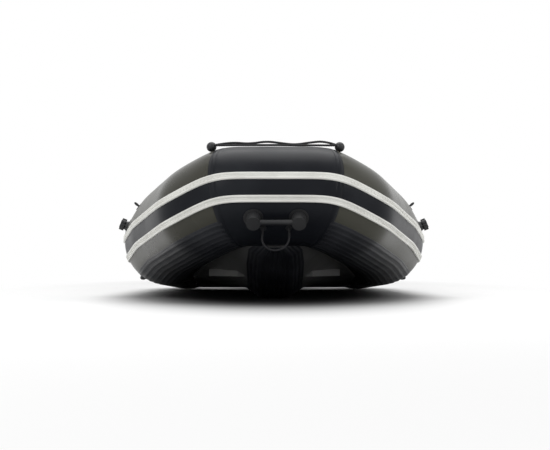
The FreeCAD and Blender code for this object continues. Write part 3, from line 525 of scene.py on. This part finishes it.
def rung_tree(material: bpy.types.Material) -> bpy.types.NodeTree:
    """Builds the tree that stands a small bar on each point of a mesh.

    Args:
        material: what the bars are made of.

    Returns:
        The geometry tree, with the bar's size as its input.
    """
    tree = bpy.data.node_groups.new("rungs", "GeometryNodeTree")
    tree.interface.new_socket("Geometry", in_out="INPUT", socket_type="NodeSocketGeometry")
    size = tree.interface.new_socket("Bar Size", in_out="INPUT", socket_type="NodeSocketVector")
    size.default_value = (0.003, 0.012, 0.004)
    tree.interface.new_socket("Geometry", in_out="OUTPUT", socket_type="NodeSocketGeometry")
    make, link = tree.nodes.new, tree.links.new
    start, end, bar = make("NodeGroupInput"), make("NodeGroupOutput"), make("GeometryNodeMeshCube")
    spread, solid = make("GeometryNodeInstanceOnPoints"), make("GeometryNodeRealizeInstances")
    finish, turn = make("GeometryNodeSetMaterial"), make("FunctionNodeAxesToRotation")
    turn.primary_axis, turn.secondary_axis = "X", "Z"
    for name, socket in (("along", "Primary Axis"), ("off", "Secondary Axis")):
        reader = make("GeometryNodeInputNamedAttribute")
        reader.data_type = "FLOAT_VECTOR"
        reader.inputs["Name"].default_value = name
        link(reader.outputs["Attribute"], turn.inputs[socket])
    finish.inputs["Material"].default_value = material
    link(start.outputs["Bar Size"], bar.inputs["Size"])
    link(start.outputs["Geometry"], spread.inputs["Points"])
    link(bar.outputs["Mesh"], spread.inputs["Instance"])
    link(turn.outputs["Rotation"], spread.inputs["Rotation"])
    link(spread.outputs["Instances"], solid.inputs["Geometry"])
    link(solid.outputs["Geometry"], finish.inputs["Geometry"])
    link(finish.outputs["Geometry"], end.inputs["Geometry"])
    return tree


@dataclass
class Rungs:
    """The small cross bars moulded in the strakes' grooves."""

    collar: Collar
    palette: Palette
    bar_size: tuple = (0.0045, 0.010, 0.005)
    groove_lift: float = 0.006

    def build(self) -> None:
        """Stands the bars along both strakes with geometry nodes and bakes them."""
        tree = rung_tree(self.palette.materials["strake_rubber"])
        places, along, off = [], [], []
        for angle in STRAKES.values():
            points, runs = self.collar.lines([(angle, self.collar.radius + self.groove_lift)])
            line = points[:, 0]
            for i in range(1, len(line) - 1):
                places.append(line[i])
                along.extend(line[i + 1] - line[i - 1])
                off.extend(self.collar.off_axis(int(runs[i]), angle, 1))
        mesh = bpy.data.meshes.new("rung_points")
        mesh.from_pydata([tuple(p) for p in places], [], [])
        for name, values in (("along", along), ("off", off)):
            mesh.attributes.new(name, "FLOAT_VECTOR", "POINT").data.foreach_set("vector", values)
        source = bpy.data.objects.new("rung_points", mesh)
        bpy.context.scene.collection.objects.link(source)
        modifier = source.modifiers.new("rungs", "NODES")
        modifier.node_group = tree
        identifier = tree.interface.items_tree["Bar Size"].identifier
        modifier[identifier] = self.bar_size
        graph = bpy.context.evaluated_depsgraph_get()
        baked = bpy.data.meshes.new_from_object(source.evaluated_get(graph))
        bpy.data.objects.remove(source)
        piece = bpy.data.objects.new("strake_rungs", baked)
        bpy.context.scene.collection.objects.link(piece)
        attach(piece, HULL)
        LOG.info("%d rungs", len(places))


@dataclass
class Bottom:
    """The cloth of the V bottom and the ribbed strip under its keel."""

    collar: Collar
    palette: Palette
    keel: tuple = ((0.200, 0.262), (0.300, 0.214), (0.420, 0.148), (0.560, 0.084), (0.720, 0.034),
                   (0.900, 0.009), (1.080, 0.004), (1.190, 0.004), (2.900, 0.004))
    flat_half: float = 0.078
    knee_half: float = 0.142
    knee_rise: float = 0.044
    foot_angle: float = 35.0
    stern_foot_angle: float = 12.0
    stern_knee_rise: float = 0.010
    foot_share: float = 0.97
    ribs: int = 14
    rib_height: float = 0.0029
    strip_lift: float = 0.001
    bow_stations: int = 7
    bow_steps: int = 5
    side_steps: int = 20
    evening: int = 3
    lowest: float = 0.0002
    cloth_wall: float = 0.004
    strip_wall: float = 0.003

    def outline(self, station: int) -> list:
        """Gives the half outline at one station.

        Args:
            station: the number of the keel's point.

        Returns:
            The breadth and height of the keel's middle, its flat, the knee and the foot at the tube.
        """
        back, height = self.keel[station]
        place = self.collar.bow + back
        port = self.collar.axis[len(self.collar.axis) // 2:]
        for first, last in zip(port, port[1:]):
            if place <= last.y or last is port[-1]:
                point = first.lerp(last, max(0.0, (place - first.y) / (last.y - first.y)))
                break
        aft = max(0.0, (back - self.keel[-2][0]) / (self.keel[-1][0] - self.keel[-2][0]))
        foot = math.radians(self.foot_angle * (1 - aft) + self.stern_foot_angle * aft)
        knee = self.knee_rise * (1 - aft) + self.stern_knee_rise * aft
        radius = self.collar.radius * self.foot_share
        edge = (point.x - radius * math.sin(foot), point.z - radius * math.cos(foot))
        narrow = min(1.0, edge[0] / (self.knee_half + 0.04))
        rise = min(knee, (edge[1] - height) * 0.8) if aft < 1 else knee
        return [(0.0, height), (self.flat_half * narrow, height),
                (self.knee_half * narrow, height + rise), edge]

    def surface(self, reach: float, across: int, ripple: bool) -> list:
        """Lists rows of points of the bottom, from starboard to port.

        Args:
            reach: how far across the outline goes, where 3 is the foot at the tube and 2 the knee.
            across: how many points each row has.
            ripple: whether the rows carry the strip's ribs.

        Returns:
            The rows, from bow to stern.
        """
        rows = []
        for station in range(len(self.keel) - 1):
            first, last = self.outline(station), self.outline(station + 1)
            steps = self.bow_steps if station < self.bow_stations else self.side_steps
            for step in range(steps + (station == len(self.keel) - 2)):
                share = step / steps
                y = (self.collar.bow + self.keel[station][0] * (1 - share)
                     + self.keel[station + 1][0] * share)
                row = []
                for i in range(across):
                    place = (2 * i / (across - 1) - 1) * reach
                    low = min(2, int(abs(place)))
                    t = abs(place) - low
                    pair = [tuple(a[low][k] * (1 - t) + a[low + 1][k] * t for k in (0, 1))
                            for a in (first, last)]
                    x = pair[0][0] * (1 - share) + pair[1][0] * share
                    z = pair[0][1] * (1 - share) + pair[1][1] * share
                    if ripple:
                        wave = math.cos(i / (across - 1) * self.ribs * math.tau)
                        z -= self.strip_lift + self.rib_height * (0.5 + 0.5 * wave)
                    row.append(Vector((math.copysign(x, place), y, z)))
                rows.append(row)
        points = np.array(rows, dtype=float)
        points[:, :, 2] = np.maximum(soften(points[:, :, 2], self.evening), self.lowest)
        return [[Vector(place) for place in row] for row in points]

    def sheet(self, name: str, rows: list, finish: str, node: str, wall: float) -> None:
        """Turns rows of points into a thick piece that stands for a node.

        Args:
            name: the piece's name.
            rows: the points of its lower side.
            finish: the finish and the slot.
            node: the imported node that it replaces.
            wall: how thick it is.
        """
        points = [p for row in rows for p in row]
        width = len(rows[0])
        points += [p + Vector((0, 0, wall)) for p in points]
        half = len(points) // 2
        faces = grid_faces(len(rows), width, False)
        faces += [tuple(half + k for k in face) for face in faces]
        rim = list(range(width)) + [r * width + width - 1 for r in range(1, len(rows))]
        rim += list(range(half - 2, half - width - 1, -1)) + [r * width for r in range(len(rows) - 2, 0, -1)]
        faces += [(a, b, b + half, a + half) for a, b in zip(rim, rim[1:] + rim[:1])]
        piece = mesh_piece(name, points, faces)
        self.palette.settle(piece, finish, node)

    def build(self) -> None:
        """Makes the bottom cloth and the keel's strip."""
        cloth = self.surface(3.0, 61, False)
        self.sheet("bottom_cloth", cloth, "bottom_fabric", "hull_skin", self.cloth_wall)
        strip = self.surface(2.0, self.ribs * 8 + 1, True)
        self.sheet("keel_rubber", strip, "ribbed_rubber", "keel_strip", self.strip_wall)
        LOG.info("bottom and keel strip")


@dataclass
class Studio:
    """The camera, the lights and the pale floor."""

    bow: float
    distance: float = 5.496
    side: float = -0.053
    height: float = 0.196
    yaw: float = 0.0087
    pitch: float = 0.0301
    lens: float = 79.0
    world_light: float = 0.5
    floor_half: float = 60
    # The painted shadow on the floor: the half sizes of its ellipse in metres, and where it fades to pale.
    shade_half: tuple = (1.05, 3.4)
    shade_reach: tuple = (0.35, 1.05)
    glow_reach: tuple = (1.25, 2.0)
    aim: tuple = (0, -0.8, 0.3)

    def camera(self) -> None:
        """Places the low camera in front of the bow."""
        data = bpy.data.cameras.new("camera")
        data.lens = self.lens
        data.clip_end = 200
        camera = bpy.data.objects.new("camera", data)
        camera.location = (self.side, self.bow - self.distance, self.height)
        camera.rotation_euler = (math.pi / 2 + self.pitch, 0, -self.yaw)
        bpy.context.scene.collection.objects.link(camera)
        bpy.context.scene.camera = camera

    def lamp(self, name: str, place: tuple, size: float, power: float) -> None:
        """Hangs one soft lamp that points at the boat.

        Args:
            name: the lamp's name.
            place: where it hangs.
            size: the side of its square.
            power: its power in watts.
        """
        data = bpy.data.lights.new(name, "AREA")
        data.size, data.energy = size, power
        lamp = bpy.data.objects.new(name, data)
        lamp.location = place
        lamp.rotation_euler = (Vector(self.aim) - Vector(place)).to_track_quat("-Z", "Y").to_euler()
        bpy.context.scene.collection.objects.link(lamp)

    def world(self) -> None:
        """Makes the pale world, brighter to the camera and in reflections than as light."""
        world = bpy.data.worlds.new("world")
        world.use_nodes = True
        bpy.context.scene.world = world
        nodes, link = world.node_tree.nodes, world.node_tree.links.new
        path, strength = nodes.new("ShaderNodeLightPath"), nodes.new("ShaderNodeMapRange")
        most, more = nodes.new("ShaderNodeMath"), nodes.new("ShaderNodeMath")
        most.operation = more.operation = "MAXIMUM"
        link(path.outputs["Is Camera Ray"], most.inputs[0])
        link(path.outputs["Is Glossy Ray"], most.inputs[1])
        link(most.outputs[0], more.inputs[0])
        link(path.outputs["Is Transmission Ray"], more.inputs[1])
        strength.inputs["To Min"].default_value = self.world_light
        link(more.outputs[0], strength.inputs["Value"])
        link(strength.outputs["Result"], nodes["Background"].inputs["Strength"])
        nodes["Background"].inputs["Color"].default_value = (1, 1, 1, 1)

    def floor_paint(self) -> bpy.types.Material:
        """Makes the floor's material: a painted shadow under the boat, pale round it and glowing far away.

        Returns:
            The new material.
        """
        material = bpy.data.materials.new("floor_paint")
        material.use_nodes = True
        nodes, link = material.node_tree.nodes, material.node_tree.links.new
        shader = nodes["Principled BSDF"]
        shader.inputs["Roughness"].default_value = 0.9
        shader.inputs["Specular IOR Level"].default_value = 0.1
        place, squash, far = (nodes.new("ShaderNodeTexCoord"), nodes.new("ShaderNodeVectorMath"),
                              nodes.new("ShaderNodeVectorMath"))
        squash.operation, far.operation = "MULTIPLY", "LENGTH"
        squash.inputs[1].default_value = (1 / self.shade_half[0], 1 / self.shade_half[1], 0)
        link(place.outputs["Object"], squash.inputs[0])
        link(squash.outputs[0], far.inputs[0])
        reach, shade, dark = (nodes.new("ShaderNodeMapRange"), nodes.new("ShaderNodeMapRange"),
                              nodes.new("ShaderNodeMix"))
        shade.interpolation_type = "SMOOTHERSTEP"
        for ramp, (start, end) in ((reach, self.glow_reach), (shade, self.shade_reach)):
            ramp.inputs["From Min"].default_value = start
            ramp.inputs["From Max"].default_value = end
            link(far.outputs["Value"], ramp.inputs["Value"])
        # Painted shadow: the floor's colour goes from near black under the boat to pale round it.
        dark.data_type = "RGBA"
        dark.inputs["A"].default_value = (0.015, 0.015, 0.016, 1)
        dark.inputs["B"].default_value = (0.95, 0.95, 0.95, 1)
        link(shade.outputs["Result"], dark.inputs["Factor"])
        link(dark.outputs["Result"], shader.inputs["Base Color"])
        sight, glow, both = (nodes.new("ShaderNodeLightPath"), nodes.new("ShaderNodeEmission"),
                             nodes.new("ShaderNodeMixShader"))
        seen, share = nodes.new("ShaderNodeMath"), nodes.new("ShaderNodeMath")
        seen.operation, share.operation = "MAXIMUM", "MULTIPLY"
        link(sight.outputs["Is Camera Ray"], seen.inputs[0])
        link(sight.outputs["Is Glossy Ray"], seen.inputs[1])
        link(seen.outputs[0], share.inputs[0])
        link(reach.outputs["Result"], share.inputs[1])
        link(share.outputs[0], both.inputs[0])
        link(shader.outputs[0], both.inputs[1])
        link(glow.outputs[0], both.inputs[2])
        link(both.outputs[0], nodes["Material Output"].inputs["Surface"])
        return material

    def floor(self) -> None:
        """Lays the wide floor that the boat stands on."""
        half = self.floor_half
        corners = [(-half, -half, 0), (half, -half, 0), (half, half, 0), (-half, half, 0)]
        floor = mesh_piece("studio_floor", corners, [(0, 1, 2, 3)])
        floor.data.materials.append(self.floor_paint())

    def build(self) -> None:
        """Sets up the whole studio."""
        self.camera()
        bpy.context.scene.view_settings.view_transform = "Standard"
        self.world()
        self.floor()
        self.lamp("key", (-3.5, self.bow - 4.0, 4.5), 3.0, 120)
        self.lamp("fill", (4.5, self.bow - 2.0, 3.5), 3.0, 60)
        self.lamp("top", (0, 0.5, 6.0), 5.0, 210)


class Lay(Enum):
    """How a rope lies."""

    LOOSE = "loose"
    HANGING = "hanging"


@dataclass(frozen=True)
class Rope:
    """One twisted rope along its route: half breadth, distance back and height of its points."""

    node: str
    diameter: float
    length: float
    lay: Lay
    route: tuple
    strands: int = 3
    twist: float = 0.034
    strand_share: float = 0.27
    sides: int = 8

    def smooth_path(self, bow: float) -> list:
        """Reads the points of the route's smooth line.

        Args:
            bow: where the bow is along Y.

        Returns:
            The points, from the end that leaves the boat.
        """
        curve = bpy.data.curves.new(self.node, "CURVE")
        curve.dimensions = "3D"
        spline = curve.splines.new("NURBS")
        spline.points.add(len(self.route) - 1)
        for point, (x, back, z) in zip(spline.points, self.route):
            point.co = (x, bow + back, z, 1)
        spline.order_u = 3
        spline.use_endpoint_u = True
        spline.resolution_u = 20
        guide = bpy.data.objects.new(self.node, curve)
        bpy.context.scene.collection.objects.link(guide)
        graph = bpy.context.evaluated_depsgraph_get()
        mesh = bpy.data.meshes.new_from_object(guide.evaluated_get(graph))
        path = [vertex.co.copy() for vertex in mesh.vertices]
        bpy.data.objects.remove(guide)
        return path

    def build(self, palette: Palette, bow: float) -> None:
        """Args:
            palette: the finishes.
            bow: where the bow is along Y.
        """
        path = self.smooth_path(bow)
        thin, sides = self.diameter * self.strand_share, self.sides
        side = (path[1] - path[0]).orthogonal().normalized()
        points, faces, travelled = [], [], 0.0
        rings = [[] for _ in range(self.strands)]
        for i, place in enumerate(path):
            along = (path[min(i + 1, len(path) - 1)] - path[max(i - 1, 0)]).normalized()
            travelled += (place - path[i - 1]).length if i else 0.0
            side = (side - along * side.dot(along)).normalized()
            other = along.cross(side)
            for k, ring in enumerate(rings):
                turn = math.tau * (k / self.strands + travelled / self.twist)
                lay_out = side * math.cos(turn) + other * math.sin(turn)
                centre = place + lay_out * (self.diameter / 2 - thin)
                for j in range(sides):
                    lean = math.tau * j / sides
                    ring.append(centre + (side * math.cos(lean) + other * math.sin(lean)) * thin)
        for ring in rings:
            start = len(points)
            points += ring
            faces += [tuple(start + n for n in face) for face in grid_faces(len(path), sides, True)]
            end = len(points) - sides
            faces += [tuple(first + j for j in range(sides)) for first in (start, end)]
        piece = mesh_piece(f"{self.node}_strands", points, faces)
        palette.settle(piece, "rope", self.node)


ROPES = (
    Rope("grab_line", 0.012, 0.587, Lay.LOOSE,
         ((-0.288, 0.262, 0.752), (-0.215, 0.256, 0.765), (-0.125, 0.262, 0.757), (-0.045, 0.250, 0.769),
          (0.030, 0.258, 0.760), (0.095, 0.250, 0.752), (0.165, 0.258, 0.764), (0.235, 0.252, 0.770),
          (0.292, 0.262, 0.752))),
    Rope("grab_line_return", 0.012, 0.583, Lay.LOOSE,
         ((-0.288, 0.238, 0.748), (-0.210, 0.226, 0.748), (-0.120, 0.234, 0.749), (-0.030, 0.222, 0.748),
          (0.050, 0.233, 0.749), (0.115, 0.240, 0.748), (0.180, 0.230, 0.748), (0.292, 0.240, 0.748))),
    Rope("tow_loop", 0.010, 0.295, Lay.HANGING,
         ((-0.059, 0.054, 0.346), (-0.061, 0.030, 0.325), (-0.066, 0.022, 0.288), (-0.046, 0.020, 0.256),
          (-0.008, 0.022, 0.243), (0.034, 0.020, 0.254), (0.060, 0.024, 0.288), (0.061, 0.032, 0.325),
          (0.059, 0.054, 0.346))),
)


def main() -> None:
    """Builds the pieces in order and reports them."""
    logging.basicConfig(level=logging.INFO)
    palette = Palette()
    collar = Collar()
    Studio(collar.bow).build()
    palette.dress_nodes()
    for rope in ROPES:
        rope.build(palette, collar.bow)
    Tube(collar, palette).build()
    Rungs(collar, palette).build()
    Bottom(collar, palette).build()


if __name__ == "__main__":
    main()
